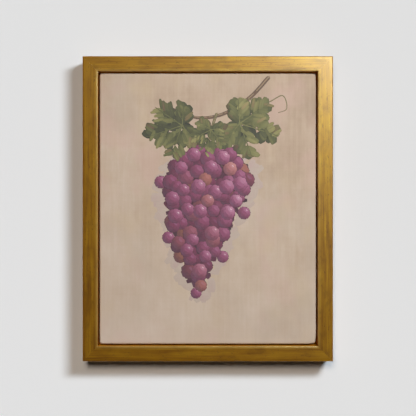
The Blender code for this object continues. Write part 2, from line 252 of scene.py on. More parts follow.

# %% [markdown]
# ## The gilded moulding
# The face of the real moulding is flat, gilded over a reddish ground and rubbed back, so that fine
# strokes run along each side, small dark flecks show through, and the arrises are worn. All four
# sides share this finish, with some painted light and shade in it: the inner arris is lighter as a
# painted highlight, the hollow of the rails is painted lighter than that of the stiles, and the
# outer edge of the stiles is painted darker. The direction of the strokes differs too, and at a
# mitre they meet at a right angle, which is why the tone jumps there.


# %% Gold leaf, rubbed back
# Painted light and shade in the hollow, over its reddish ground: the inner walls of the rails are
# painted lighter and warmer, as if lit, and those of the stiles darker, as if in shade
HOLLOW_LIGHT_AND_SHADE = {
    "X": ((0.95, 0.36, 0.012), (1.0, 0.56, 0.045)),
    "Z": ((0.50, 0.13, 0.004), (0.74, 0.25, 0.012)),
}


def gilded_finish(name, along):
    """Gold leaf whose strokes run along one axis: "X" for the rails, "Z" for the stiles."""
    gold = Finish(name, along)
    hairlines = gold.grain(28, 1500, (0.3, 0.1, 0.7))
    strokes = gold.grain(16, 420, (0.9, 0.4, 0.2), 3)
    patches = gold.grain(34, 90, (3.1, 2.2, 1.3), 4, 0.6)
    smudges = gold.grain(66, 125, (4.4, 1.1, 8.8), 4, 0.62).between(0.47, 0.68)
    crumbs = gold.cloud(900, 3, 0.6)
    flecks = gold.grain(150, 520, (7.7, 5.5, 3.3), 3, 0.62).between(0.625, 0.70)
    pits = gold.grain(420, 900, (1.7, 9.5, 4.3)).between(0.66, 0.72)
    wear, turned, deep = [gold.stored(key) for key in ("wear", "outer", "inner")]
    rubbed_and_lit = (wear * (patches * 1.4 + 0.2)).limited()

    tone = (hairlines - 0.5) * 0.9 + (strokes - 0.5) * 0.9 + (patches - 0.5) * 0.7 + 0.5
    leaf = gold.ramp(
        tone,
        [
            (0.14, (0.225, 0.078, 0.001)),
            (0.42, (0.380, 0.154, 0.001)),
            (0.60, (0.445, 0.194, 0.002)),
            (0.88, (0.560, 0.268, 0.006)),
        ],
    )
    dark = (flecks * 0.62).largest(pits * 0.5)
    leaf = gold.colour(dark, leaf, (0.070, 0.024, 0.003))
    # Rubbed leaf is lighter, and at the inner arris this lighter colour is also a painted highlight
    leaf = gold.colour(rubbed_and_lit * 0.8, leaf, (0.78, 0.48, 0.13))
    leaf = gold.colour(smudges * 0.34, leaf, (0.175, 0.062, 0.001))
    # Painted shade: the rounded outer edge of the stiles is darkened and loses coat, as if it caught
    # less light
    if along == "Z":
        leaf = gold.colour(turned * 0.30, leaf, (0.30, 0.095, 0.001))
    # The hollow gets its painted light, on the rails, or painted shade, on the stiles, over the leaf
    dim, bright = HOLLOW_LIGHT_AND_SHADE[along]
    leaf = gold.colour(deep, leaf, gold.colour(tone, dim, bright))
    wood, bare = bare_back(gold)
    gold.set(
        base_color=gold.colour(bare, leaf, wood),
        metallic=(1 - bare) * (0.62 - dark * 0.35) * (1 - deep * 0.6),
        roughness=(0.44 + (strokes - 0.5) * 0.16 + dark * 0.14 - rubbed_and_lit * 0.08) * (1 - bare)
        + bare * 0.75,
        coat_weight=(1 - bare) * (0.85 - dark * 0.5) * (1 - deep * 0.7) * (1 - turned * 0.5),
        coat_roughness=0.29,
    )
    relief = hairlines * 0.10 + strokes * 0.16 + patches * 0.35 + crumbs * 0.05 - dark * 0.22
    gold.set(normal=gold.bump(relief, 0.32, 0.35 * MM))
    return gold.material


def bare_back(gold):
    """The back is bare wood, with a ragged edge where the ground colour ran over."""
    grain = gold.grain(14, 620, (2.0, 8.0, 5.0), 4, 0.6)
    bands = gold.grain(5, 120, (6.0, 1.0, 9.0))
    wood = gold.ramp(
        grain * 0.55 + bands * 0.45,
        [(0.30, srgb(122, 88, 56)), (0.50, srgb(168, 130, 88)), (0.72, srgb(196, 162, 118))],
    )
    ragged = (gold.cloud(260, 4) - 0.5) * 2.4 * MM
    bare = (gold.axes()[1] + ragged).between(FRAME_BACK - 1.7 * MM, FRAME_BACK - 0.7 * MM)
    return wood, bare


gilt = {"X": gilded_finish("gilt_rails", "X"), "Z": gilded_finish("gilt_stiles", "Z")}
print("gilded finishes:", [m.name for m in gilt.values()])

# %% [markdown]
# Three short helpers serve every piece that follows: one turns a bmesh into a mesh, one rounds
# edges or the corner points of a face, and one pulls a flat outline out into a solid.


# %% Helpers for a mesh
def mesh_from(bm, name):
    """A mesh with what the bmesh holds."""
    mesh = bpy.data.meshes.new(name)
    bm.to_mesh(mesh)
    bm.free()
    return mesh


def round_off(bm, parts, radius, affect="EDGES", segments=6):
    """Rounds edges, or the corner points of a flat face."""
    bmesh.ops.bevel(
        bm,
        geom=list(parts),
        offset=radius,
        offset_type="OFFSET",
        affect=affect,
        segments=segments,
        profile=0.5,
        material=-1,
    )


def extruded(bm, faces, way):
    """Pulls faces out into a solid and gives the points of the far end."""
    swept = bmesh.ops.extrude_face_region(bm, geom=faces)
    far_end = [v for v in swept["geom"] if isinstance(v, bmesh.types.BMVert)]
    bmesh.ops.translate(bm, verts=far_end, vec=way)
    return far_end


# %% [markdown]
# A side could be a box with a groove cut in it. It is drawn as its L-shaped section instead, from
# six corner points, because bevelling single points of the section rounds each arris by its own
# radius, all along the side.

# %% Round the arrises of the section
BACK_CLEAR = 0.15 * MM


def moulding_face(bm, start_x, half_width):
    """The section of the moulding as one face, its arrises rounded."""
    corners = {
        (0.0, FRAME_BACK - BACK_CLEAR): FOOT_ROUND,
        (0.0, FRAME_FRONT): OUTER_ARRIS,
        (FACE_WIDTH, FRAME_FRONT): INNER_ARRIS,
        (FACE_WIDTH, LEDGE_FRONT): 0.4 * MM,
        (MOULDING_W, LEDGE_FRONT): 0.6 * MM,
        (MOULDING_W, FRAME_BACK - BACK_CLEAR): 0.6 * MM,
    }
    rounding = {}
    for (inward, y), radius in corners.items():
        vert = bm.verts.new((start_x, y, half_width - inward))
        rounding.setdefault(radius, []).append(vert)
    bm.faces.new(list(bm.verts))
    for radius, verts in rounding.items():
        round_off(bm, verts, radius, "VERTICES")
    long_edges = [e for e in bm.edges if e.calc_length() > 4 * MM]
    bmesh.ops.subdivide_edges(bm, edges=long_edges, cuts=5)
    return list(bm.faces)


print(f"arrises rounded to {OUTER_ARRIS / MM:.1f} and {INNER_ARRIS / MM:.1f} mm")

# %% [markdown]
# Leaf wears off first where hands and cloths touch it, at the arrises. Each point of a side keeps
# three numbers for the finish to read: its wear, which at the inner arris also carries a painted
# highlight, how deep in the hollow it lies, for the hollow's painted light and shade, and whether it
# lies on the outer edge, for the stiles' painted shade. They could be painted on by hand, but a
# formula of the distance to the arris comes out even along all four sides.


# %% What each point tells the finish
def arris_wear_and_highlight(inward, y):
    """How worn the leaf is, and on the inner arris a painted highlight: most there, less on the outer
    arris, not at all elsewhere.
    """
    depth = y - FRAME_FRONT
    outer = math.hypot(inward - 0.3 * OUTER_ARRIS, depth - 0.3 * OUTER_ARRIS)
    inner = math.hypot(inward - FACE_WIDTH + 0.3 * INNER_ARRIS, depth - 0.3 * INNER_ARRIS)
    return max(0.0, 0.25 - outer / (1.6 * MM), 1 - inner / (0.9 * MM))


def hollow_depth(inward, y):
    """Where the hollow's painted light and shade go: 0 on the face and its lit lip, rising to 1 some
    way down the inner wall.
    """
    if inward < FACE_WIDTH - 0.05 * MM:
        return 0.0
    return min(1.0, max(0.0, (y - FRAME_FRONT - 0.8 * MM) / (1.4 * MM)))


def outer_edge_shade(inward):
    """1 on the outer edge of the side, fading to 0 at 2.3 mm in: where the stiles get painted shade.
    """
    return min(1.0, max(0.0, (2.3 * MM - inward) / (0.6 * MM)))


print("wear at the inner arris:", round(arris_wear_and_highlight(FACE_WIDTH, FRAME_FRONT), 2))

# %% [markdown]
# The section is extruded along the side and cut across into short lengths. Each end is then slid
# back to the mitre: the further in a point lies, the shorter its line. A soft noise of some
# hundredths of a millimetre takes away the look of a machine.

# %% One mitred side
RAIL_STATIONS = 150
MITRE_GAP = 0.02 * MM
# How often the unevenness repeats per metre, how high it is in millimetres, how deep a nick cuts,
# and how quickly all of it dies away at a mitre
RIPPLES_A_METRE = 38
RIPPLE = 0.04
NICK = 0.2
CALM_END = 40


def side_mesh(name, half_length, half_width):
    """One mitred side of the frame, as the top one, round the picture's middle."""
    bm = bmesh.new()
    extruded(bm, moulding_face(bm, -half_length, half_width), (2 * half_length, 0, 0))
    lengthwise = [e for e in bm.edges if e.calc_length() > half_length]
    bmesh.ops.subdivide_edges(bm, edges=lengthwise, cuts=RAIL_STATIONS, use_grid_fill=True)
    bmesh.ops.recalc_face_normals(bm, faces=bm.faces)
    bm.normal_update()
    wear, inner, outer = [bm.verts.layers.float.new(key) for key in ("wear", "inner", "outer")]
    seed = Vector((0, 0, 17 * half_width / MM))
    for v in bm.verts:
        inward = half_width - v.co.z
        v[wear] = arris_wear_and_highlight(inward, v.co.y)
        v[inner] = hollow_depth(inward, v.co.y)
        v[outer] = outer_edge_shade(inward)
        lengthwise_share = v.co.x / half_length
        v.co.x = lengthwise_share * (half_length - inward - MITRE_GAP)
        place = v.co * RIPPLES_A_METRE + seed
        ripple = noise.noise(place) * RIPPLE + noise.noise(place * 6) * RIPPLE / 2
        nick = max(0.0, noise.noise(place * 4 + seed) - 0.28) * NICK * v[wear]
        inside = min(1.0, (1 - abs(lengthwise_share)) * CALM_END)
        v.co += v.normal * (ripple - nick) * MM * inside
    return mesh_from(bm, name)


# %% [markdown]
# The rails and stiles are the same stick at two lengths, turned round the picture's middle. Each
# stands for the plain solid of the same place, which stays in the part for collision.

# %% Four gilded sides
SHARP_ARRIS = math.radians(35)
SIDES = (
    ("gilded_rail_top", "rail_top", 0, "X"),
    ("gilded_stile_right", "stile_right", 90, "Z"),
    ("gilded_rail_bottom", "rail_bottom", 180, "X"),
    ("gilded_stile_left", "stile_left", 270, "Z"),
)


def new_object(name, data):
    made = bpy.data.objects.new(name, data)
    bpy.context.scene.collection.objects.link(made)
    return made


def add_piece(name, mesh, slot, *nodes):
    """Adds a finished mesh that rides on the part and stands for the named solids."""
    piece = new_object(name, mesh)
    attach(piece, "root")
    if nodes:
        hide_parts(*nodes)
    return piece


def triangles(mesh):
    return sum(len(p.vertices) - 2 for p in mesh.polygons)


for name, node, turn, along in SIDES:
    spans = (OUTER_W / 2, OUTER_H / 2) if along == "X" else (OUTER_H / 2, OUTER_W / 2)
    mesh = side_mesh(name, *spans)
    turned = Matrix.Rotation(math.radians(turn), 4, "Y")
    mesh.transform(Matrix.Translation((0, 0, CENTRE_Z)) @ turned)
    mesh.materials.append(gilt[along])
    mesh.shade_smooth()
    mesh.set_sharp_from_angle(angle=SHARP_ARRIS)
    add_piece(name, mesh, "gilded_wood", node)
    print(name, triangles(mesh), "triangles")

# %% [markdown]
# ## The stretched cloth
# An artist's canvas is cotton duck, primed white, pulled over the stretcher and stapled behind.
# The cloth is one surface here: a box with rounded edges and no back, whose turned-in strip is
# inset from the rim, and Solidify gives it its half millimetre. The inner side gets the raw,
# unprimed cloth, which is what one sees through the open back.


# %% Primed and painted cloth
MATT_PAINT = 0.05
# Soft patches in the ground: repeats per metre, shift, where they begin, how strong, and paint
GROUND_PATCHES = (
    ((26, 26, 22), (9.0, 2.0, 3.0), (0.48, 0.70), 0.42, pigment(206, 172, 160)),
    ((30, 30, 26), (3.0, 7.0, 6.0), (0.48, 0.72), 0.40, pigment(203, 181, 150)),
    ((21, 21, 18), (1.5, 8.0, 2.5), (0.50, 0.70), 0.24, pigment(180, 166, 150)),
)


def weave(finish, pitch=0.62 * MM):
    """The height of a plain weave: two sets of threads that pass over and under each other."""
    x, y, z = finish.axes()
    turn = 2 * math.pi / pitch
    wobble = (finish.cloud(240) - 0.5) * 2.2
    across = ((x - y) * turn + wobble).sine()
    upward = ((z + y) * turn + wobble).sine()
    over = ((x - y) * (turn / 2)).sine() * ((z + y) * (turn / 2)).sine()
    return across * 0.25 + upward * 0.25 + over * 0.35 + 0.5


def slubs(finish):
    """Uneven threads: long faint streaks up the cloth and shorter ones across it."""
    upright = finish.cloud((900, 900, 26), shift=(0.2, 0.6, 0.4))
    level = finish.cloud((30, 900, 760), shift=(0.8, 0.3, 0.1))
    return upright * 0.62 + level * 0.38


def painted_cloth():
    ground = Finish("painted_cloth")
    x, y, z = ground.axes()
    high = (z - CENTRE_Z) / (CANVAS_H / 2)
    wide = x / (CANVAS_W / 2)
    drift = ground.cloud((9, 9, 7), 3, 0.55, (1.0, 4.0, 2.0))
    scumble = ground.cloud((34, 34, 27), 4, 0.6, (5.0, 1.0, 7.0))
    strokes = ground.cloud((210, 210, 60), 3, 0.6, (2.0, 3.0, 8.0))
    threads = slubs(ground)
    drawn = ground.cloud((430, 430, 15), shift=(6.0, 3.0, 1.0))
    knots = ground.cloud(1500)
    tone = 0.5 + (drift - 0.5) * 0.75 + (scumble - 0.5) * 0.60 + (strokes - 0.5) * 0.24
    tone = tone + (threads - 0.5) * 0.20 + (drawn - 0.5) * 0.15 + (knots - 0.5) * 0.08
    # Painted light: the ground is darker towards the top and the right, where the lamps are stronger
    tone = tone - high * 0.11 - wide * 0.09
    paint = ground.ramp(
        tone,
        [
            (0.16, pigment(176, 152, 130)),
            (0.40, pigment(193, 170, 148)),
            (0.60, pigment(202, 181, 161)),
            (0.86, pigment(214, 196, 180)),
        ],
    )
    for scale, shift, limits, strength, colour in GROUND_PATCHES:
        patch = ground.cloud(scale, 3, shift=shift).between(*limits)
        paint = ground.colour(patch * strength, paint, colour)
    # Painted light: lighter paint towards the lower left, where less lamp light falls
    painted_light_lower_left = (high * -0.34 - wide * 0.14 - 0.05).limited()
    paint = ground.colour(painted_light_lower_left, paint, pigment(224, 204, 187))
    primed = ground.ramp(threads, [(0.3, pigment(214, 208, 196)), (0.7, pigment(232, 228, 219))])
    ragged = (ground.cloud((120, 300, 120), 3) - 0.5) * 9 * MM
    turned = (y + ragged).between(CANVAS_FRONT + 8 * MM, CANVAS_FRONT + 10 * MM)
    colour = ground.colour(turned, paint, primed)
    ground.set(base_color=colour, roughness=0.62 + (scumble - 0.5) * 0.22)
    relief = weave(ground) * 0.35 + threads * 0.40 + scumble * 0.30 + strokes * 0.15
    ground.set(normal=ground.bump(relief, 0.30, 0.30 * MM))
    ground.shader.inputs["Specular IOR Level"].default_value = MATT_PAINT
    return ground.material


def raw_cloth():
    duck = Finish("raw_cloth")
    threads, height = slubs(duck), weave(duck)
    tone = threads * 0.6 + height * 0.25 + 0.08
    cloth = duck.ramp(tone, [(0.30, srgb(176, 160, 132)), (0.62, srgb(212, 199, 172))])
    seeds = duck.cloud(520, 2, 0.4).between(0.70, 0.74)
    cloth = duck.colour(seeds * 0.7, cloth, srgb(120, 96, 66))
    duck.set(base_color=cloth, roughness=0.88 + (threads - 0.5) * 0.1)
    duck.set(normal=duck.bump(height * 0.6 + threads * 0.5, 0.5, 0.35 * MM))
    return duck.material


cloth_finishes = [painted_cloth(), raw_cloth()]
print("cloth finishes:", [m.name for m in cloth_finishes])

# %% [markdown]
# Cloth can be simulated, but a stretched canvas has hardly a fold, and a cube with bevelled edges
# has its shape already. The back face is inset by the width of the strip and deleted, and the
# long faces are cut fine enough to take small bends.

# %% Wrap the cloth
FRONT_CUTS = 36


def wrapped_cloth():
    """The outer surface of the cloth: front, turned edges and the strip behind."""
    bm = bmesh.new()
    depth = CANVAS_BACK - CANVAS_FRONT
    middle = Vector((0, CANVAS_FRONT + depth / 2, CENTRE_Z))
    size = Matrix.Diagonal((CANVAS_W, depth, CANVAS_H, 1))
    bmesh.ops.create_cube(bm, size=1, matrix=Matrix.Translation(middle) @ size)
    round_off(bm, bm.edges, FOLD_RADIUS)
    bm.normal_update()
    back = max(bm.faces, key=lambda face: face.calc_center_median().y)
    strip = RETURN_WIDTH - FOLD_RADIUS
    bmesh.ops.inset_region(bm, faces=[back], thickness=strip, use_even_offset=True)
    bmesh.ops.delete(bm, geom=[back], context="FACES")
    for axis in (0, 2):
        for sign in (-1, 1):
            cut_across(bm, axis, sign)
    return bm


def cut_across(bm, axis, sign):
    """Divides everything that runs the full length of one side, from fold to fold."""
    half = (CANVAS_W if axis == 0 else CANVAS_H) / 2
    other = 2 - axis
    middle = (0, 0, CENTRE_Z)
    along = [
        e
        for e in bm.edges
        if abs(e.verts[0].co[axis] - e.verts[1].co[axis]) > half
        and (e.verts[0].co[other] - middle[other]) * sign > 0
    ]
    bmesh.ops.subdivide_edges(bm, edges=along, cuts=FRONT_CUTS, use_grid_fill=True)


# %% [markdown]
# The strip behind is cut by hand, so its inner edge wanders by a millimetre, and between two
# staples the pull lets go a little. At each corner the spare cloth is folded over in a triangle,
# and in front the same fold pulls the corner in by up to a millimetre.

# %% Corners and the strip behind
FLAP_CLEAR = 0.3 * MM
FLAP_ARRIS = 0.22 * MM
# How far each front corner is pulled in: left or right, bottom or top, and how much
PULLED_CORNERS = ((1, -1, 1.1 * MM), (-1, -1, 0.2 * MM), (1, 1, 0.5 * MM), (-1, 1, 0.3 * MM))
PULL_REACH = 4.5 * MM


def pull_corners(bm):
    """Rounds the outline of the cloth at its corners, where folds pull the threads in."""
    for v in bm.verts:
        for side, up, pull in PULLED_CORNERS:
            across = CANVAS_W / 2 - side * v.co.x
            down = CANVAS_H / 2 - up * (v.co.z - CENTRE_Z)
            share = max(0.0, 1 - across / PULL_REACH) * max(0.0, 1 - down / PULL_REACH)
            v.co.x -= side * pull * share
            v.co.z -= up * pull * share


def loosen_strip(bm):
    """Lets the inner edge of the strip wander, most of all between two staples."""
    inner_w = CANVAS_W / 2 - RETURN_WIDTH
    inner_h = CANVAS_H / 2 - RETURN_WIDTH
    for v in bm.verts:
        if v.co.y < CANVAS_BACK - 0.1 * MM:
            continue
        across, up = v.co.x, v.co.z - CENTRE_Z
        wander = (noise.noise(v.co * 60) * 0.9 + noise.noise(v.co * 240) * 0.35) * MM
        if abs(abs(up) - inner_h) < 0.2 * MM and abs(across) < inner_w - MM:
            v.co.z += math.copysign(wander, up)
        if abs(abs(across) - inner_w) < 0.2 * MM and abs(up) < inner_h - MM:
            v.co.x += math.copysign(wander, across)


def fold_flap(bm, side, up):
    """The triangle of spare cloth at one back corner, as a thin pad with soft edges."""
    corner = Vector((side * CANVAS_W / 2, CANVAS_BACK + 0.02 * MM, CENTRE_Z + up * CANVAS_H / 2))
    outer, inner = FOLD_RADIUS * 0.6, RETURN_WIDTH - FLAP_CLEAR
    outline = [(outer, -outer), (inner, -outer - FLAP_CLEAR), (inner, -inner)]
    verts = [bm.verts.new(corner + Vector((-side * a, 0, up * b))) for a, b in outline]
    raised = extruded(bm, [bm.faces.new(verts)], (0, CLOTH_THICK * 0.94, 0))
    round_off(bm, {e for v in raised for e in v.link_edges}, FLAP_ARRIS, segments=3)


# %% [markdown]
# The surface has no thickness yet. Solidify adds it inwards, so that the outside stays where it
# was measured, and gives the inner side and the rim the raw cloth. The folds are solid pads.

# %% Cloth and folds
cloth_bm = wrapped_cloth()
pull_corners(cloth_bm)
loosen_strip(cloth_bm)
bmesh.ops.recalc_face_normals(cloth_bm, faces=cloth_bm.faces)
cloth_mesh = mesh_from(cloth_bm, "stretched_cloth")
cloth_mesh.shade_smooth()
for finish in cloth_finishes:
    cloth_mesh.materials.append(finish)
cloth = add_piece("stretched_cloth", cloth_mesh, "canvas_cloth", "canvas")
thickness = cloth.modifiers.new("cloth", "SOLIDIFY")
thickness.thickness = CLOTH_THICK
thickness.offset = -1
thickness.use_even_offset = True
thickness.material_offset = 1
thickness.material_offset_rim = 1
print("stretched_cloth", triangles(cloth_mesh), "triangles before its thickness")

flap_bm = bmesh.new()
for side in (-1, 1):
    for up in (-1, 1):
        fold_flap(flap_bm, side, up)
bmesh.ops.recalc_face_normals(flap_bm, faces=flap_bm.faces)
flap_mesh = mesh_from(flap_bm, "corner_folds")
flap_mesh.shade_smooth()
flap_mesh.materials.append(cloth_finishes[0])
folds = add_piece("corner_folds", flap_mesh, "canvas_cloth")
print("corner_folds", triangles(flap_mesh), "triangles")

# %% [markdown]
# The size the cloth was cut to comes from what it wraps: the front, 19.6 mm of edge and 25 mm of
# return on every side. Nothing is trimmed at the corners, where the spare cloth is folded in.

# %% Say what the cloth is
CUT_MARGIN = (CANVAS_BACK - CANVAS_FRONT) + RETURN_WIDTH
flat_cut = (CANVAS_W + 2 * CUT_MARGIN, CANVAS_H + 2 * CUT_MARGIN)
print("cut", [round(side / MM, 1) for side in flat_cut], "mm")

# %% [markdown]
# ## The oil painting
# The picture is a made-up still life for this lesson: a bunch of grapes under vine leaves on a
# plain blush ground. It is laid on as a painter would, in about 3,400 strokes. Every stroke is a
# real, thin dab of paint. One dab is modelled, then doubled again and again until there are
# enough, and each copy is laid in its place, bent, coloured and raised over the ones below.

# %% One dab of paint
DAB_ALONG, DAB_ACROSS = 6, 4
PAINT_SINK = 0.06


def dab_template(bm):
    """A dab two units long and two wide. Z is 1 on its flat top and 0 round its rim."""
    bmesh.ops.create_grid(bm, x_segments=DAB_ALONG, y_segments=DAB_ACROSS, size=1)
    for v in bm.verts:
        if not v.is_boundary:
            v.co = (v.co.x * 1.36, v.co.y * 1.76, 1.0)
    bmesh.ops.holes_fill(bm, edges=[e for e in bm.edges if e.is_boundary])
    bmesh.ops.recalc_face_normals(bm, faces=bm.faces)


def many_dabs(count):
    """A mesh of many dabs on one spot, doubled until there are enough, and numbered."""
    bm = bmesh.new()
    dab_template(bm)
    number = bm.verts.layers.int.new("dab")
    made = 1
    while made < count:
        twins = bmesh.ops.duplicate(bm, geom=[*bm.verts, *bm.edges, *bm.faces])
        for v in twins["geom"]:
            if isinstance(v, bmesh.types.BMVert):
                v[number] += made
        made *= 2
    spare = [v for v in bm.verts if v[number] >= count]
    bmesh.ops.delete(bm, geom=spare, context="VERTS")
    return mesh_from(bm, "dabs")


print("a dab is cut", DAB_ALONG, "times along and", DAB_ACROSS, "times across")

# %% [markdown]
# Strokes may not cut through each other, so a map of the picture in small cells keeps how high the
# paint stands. A new stroke lies on the highest paint under it and raises the map by its own
# thickness. The whole painting comes to half a millimetre at its thickest.

# %% How high the paint stands
CELL = 0.8
COLUMNS = int(CANVAS_W / MM / CELL) + 2
ROWS = int(CANVAS_H / MM / CELL) + 2
CELL_X = (np.arange(COLUMNS) * CELL - CANVAS_W / MM / 2)[None, :]
CELL_Z = (np.arange(ROWS) * CELL - CANVAS_H / MM / 2)[:, None]
laid_paint = np.zeros((ROWS, COLUMNS))


def lie_on_top(x, z, angle, length, width, thick):
    """How high the paint stands under a new stroke, which is then added to it."""
    cos, sin = math.cos(angle), math.sin(angle)
    across, up = CELL_X - x, CELL_Z - z
    covered = abs(across * cos + up * sin) <= length / 2 + CELL
    covered &= abs(up * cos - across * sin) <= width / 2 + CELL
    base = float(laid_paint[covered].max(initial=0.0))
    laid_paint[covered] = base + thick
    return base


print("paint map:", COLUMNS, "by", ROWS, "cells")

# %% [markdown]
# A stroke is written down as one row: its place, direction, length, width and bend in
# millimetres, and three paints. Wet oil picks up what lies under it, so each stroke goes from one
# colour to another along its length, and its edges turn to the colour below. NumPy then moves all
# the dabs at once.

# %% Lay the strokes
BRUSH = random.Random(11)
EDGE_PICK_UP = 0.62
THIN_PAINT = 0.0018
SHARP_DAB = math.radians(8)


class Strokes:
    """A list of brush strokes that becomes one piece."""

    def __init__(self):
        self.rows = []
        self.paints = []

    def lay(
        self, x, z, angle, length, width, first, last=None, under=None, bend=0.0, thick=THIN_PAINT
    ):
        """One stroke, from the first colour to the last, whose edges pick up what is under."""
        last = last or first
        base = lie_on_top(x, z, angle, length, width + 2 * abs(bend), thick)
        self.rows.append((x, z, angle, length, width, bend, base + thick))
        self.paints.append((first, last, under or blend(first, last, 0.5)))

    def mesh(self, name):
        mesh = many_dabs(len(self.rows))
        count = len(mesh.vertices)
        flat, which = np.zeros(count * 3), np.zeros(count, int)
        mesh.vertices.foreach_get("co", flat)
        mesh.attributes["dab"].data.foreach_get("value", which)
        along, across, height = flat.reshape(-1, 3).T
        x, z, angle, length, width, bend, top = np.array(self.rows)[which].T
        taper = np.sqrt(np.clip(1.05 - 0.80 * along**2, 0.04, 1))
        step = along * length / 2
        aside = across * width / 2 * taper + bend * (along**2 - 0.35)
        cos, sin = np.cos(angle), np.sin(angle)
        out = np.where(height > 0.5, top, -PAINT_SINK)
        place = np.stack(
            [
                (x + cos * step - sin * aside) * MM,
                CANVAS_FRONT - out * MM,
                CENTRE_Z + (z + sin * step + cos * aside) * MM,
            ],
            axis=1,
        )
        mesh.vertices.foreach_set("co", place.astype(np.float32).ravel())
        self.paint(mesh, which, along, across)
        self.unwrap(mesh, along * length / 2, across * width / 2, which)
        mesh.name = name
        return self.turned_out(mesh)

    def paint(self, mesh, which, along, across):
        first, last, under = np.array(self.paints)[which].transpose(1, 0, 2)
        share = (along[:, None] + 1) / 2
        edge = np.clip(np.maximum(across**2, along**6), 0, 1)[:, None] * EDGE_PICK_UP
        colour = (first + (last - first) * share) * (1 - edge) + under * edge
        rgba = np.ones((len(which), 4), np.float32)
        rgba[:, :3] = colour
        tint = mesh.color_attributes.new("paint", "FLOAT_COLOR", "POINT")
        tint.data.foreach_set("color", rgba.ravel())

    def unwrap(self, mesh, along, across, which):
        """A UV map in millimetres, so that the bristle marks run along every stroke."""
        layer = mesh.uv_layers.new(name="brush")
        corner = np.zeros(len(mesh.loops), int)
        mesh.loops.foreach_get("vertex_index", corner)
        uv = np.stack([along + which * 7.31, across + which * 3.17], axis=1)[corner]
        layer.data.foreach_set("uv", uv.astype(np.float32).ravel())

    def turned_out(self, mesh):
        bm = bmesh.new()
        bm.from_mesh(mesh)
        bmesh.ops.recalc_face_normals(bm, faces=bm.faces)
        bm.to_mesh(mesh)
        bm.free()
        mesh.shade_smooth()
        mesh.set_sharp_from_angle(angle=SHARP_DAB)
        return mesh


# %% [markdown]
# A painter mixes from a few tubes. A colour is taken from a short row of tones, and each stroke
# varies it a little in lightness and warmth. The seeded brush makes the same picture every time.


# %% Mix the paint
def blend(first, second, share):
    """The colour a share of the way from one to another."""
    return tuple(a + (b - a) * share for a, b in zip(first, second))


def along_palette(palette, share):
    """A colour from a row of evenly spaced ones."""
    share = min(max(share, 0.0), 1.0) * (len(palette) - 1)
    step = min(int(share), len(palette) - 2)
    return blend(palette[step], palette[step + 1], share - step)


def varied(colour, amount):
    """The colour, a little lighter or darker and a little warmer or cooler."""
    light = 1 + BRUSH.uniform(-amount, amount)
    warm = BRUSH.uniform(-amount, amount) * 0.4
    return (
        min(1.0, colour[0] * (light + warm)),
        min(1.0, colour[1] * light),
        min(1.0, colour[2] * (light - warm)),
    )


# %% [markdown]
# A grape is a ball, so its strokes run round it. Each end of a stroke takes its tone from how far
# that spot turns to the light at the upper right, and the side away from it gets a cool glow from
# its neighbours. The bloom and the glint come last.

# %% One grape
PLUM = [
    pigment(54, 14, 30),
    pigment(88, 26, 52),
    pigment(124, 44, 78),
    pigment(152, 72, 108),
    pigment(180, 108, 140),
    pigment(212, 152, 174),
]
BLUSH = pigment(198, 178, 160)
HAZE = pigment(195, 162, 157)
MAUVE = pigment(158, 104, 142)
AMBER = pigment(206, 140, 72)
SUN = Vector((0.50, 0.54, 0.68)).normalized()
GLOW = Vector((-0.68, -0.56, 0.46)).normalized()
BLOOM_WAY, GLINT_WAY = math.radians(-46), math.radians(-44)
GLINT_THICK = 0.012


def grape_paint(across, up, shade, warmth):
    """The colour of one spot of a grape. The offsets are shares of its radius."""
    spot = Vector((across, up, math.sqrt(max(0.0, 1 - across * across - up * up))))
    lit = max(0.0, spot.dot(SUN)) ** 1.25
    colour = along_palette(PLUM, 0.05 + shade * (0.17 + 0.70 * lit))
    colour = blend(colour, MAUVE, 0.42 * shade * max(0.0, spot.dot(GLOW)) ** 4)
    return blend(colour, AMBER, warmth * (0.25 + 0.55 * lit))


def grape(strokes, x, z, radius, shade):
    warmth = max(0.0, BRUSH.uniform(-2.0, 0.55))
    squash = BRUSH.uniform(0.92, 1.06)

    def tint(across, up):
        return varied(grape_paint(across, up, shade, warmth), 0.05)

    def ring_stroke(around, ring, long, wide):
        half = long / ring / 2
        cos, sin = math.cos(around), math.sin(around)
        ends = [(ring * math.cos(a), ring * math.sin(a)) for a in (around - half, around + half)]
        middle = (x + ring * cos * radius, z + ring * sin * radius * squash)
        bend = ring * (1 - math.cos(half)) * radius
        under = tint(0.8 * cos, 0.8 * sin)
        first, last = [tint(*end) for end in ends]
        way = around + math.pi / 2
        strokes.lay(*middle, way, long * radius, wide * radius, first, last, under, bend)

    for i in range(3):
        way = math.pi * i / 3 + 0.4
        dark = tint(-0.55 * math.cos(way), -0.55 * abs(math.sin(way)))
        strokes.lay(x, z, way, 2.0 * radius, 1.30 * radius * squash, dark, dark, PLUM[0])
    start = BRUSH.uniform(0, 1)
    for i in range(8):
        ring_stroke(start + 2 * math.pi * i / 8, 0.70, 0.74, 0.46)
    for i in range(5):
        ring_stroke(start + 2 * math.pi * (i + 0.5) / 5, 0.36, 0.60, 0.50)
    place, way = (x + 0.04 * radius, z + 0.04 * radius), BRUSH.uniform(2.0, 2.7)
    strokes.lay(*place, way, 0.8 * radius, 0.5 * radius, tint(-0.1, 0.2), tint(0.2, -0.1))
    bloom = blend(tint(0.4, 0.42), MAUVE, BRUSH.uniform(0.0, 0.35))
    place, size = (x + 0.30 * radius, z + 0.33 * radius), (0.72 * radius, 0.36 * radius)
    strokes.lay(*place, BLOOM_WAY, *size, bloom, bloom, tint(0.2, 0.2), 0.05 * radius)
    if shade > 0.80 and BRUSH.random() < 0.8:
        glint = blend(PLUM[5], pigment(246, 224, 222), BRUSH.uniform(0.3, 0.9))
        spot = BRUSH.uniform(0.34, 0.44)
        place, size = (x + spot * radius, z + (spot + 0.03) * radius), (0.30 * radius, 0.17 * radius)
        strokes.lay(*place, GLINT_WAY, *size, glint, glint, bloom, thick=GLINT_THICK)


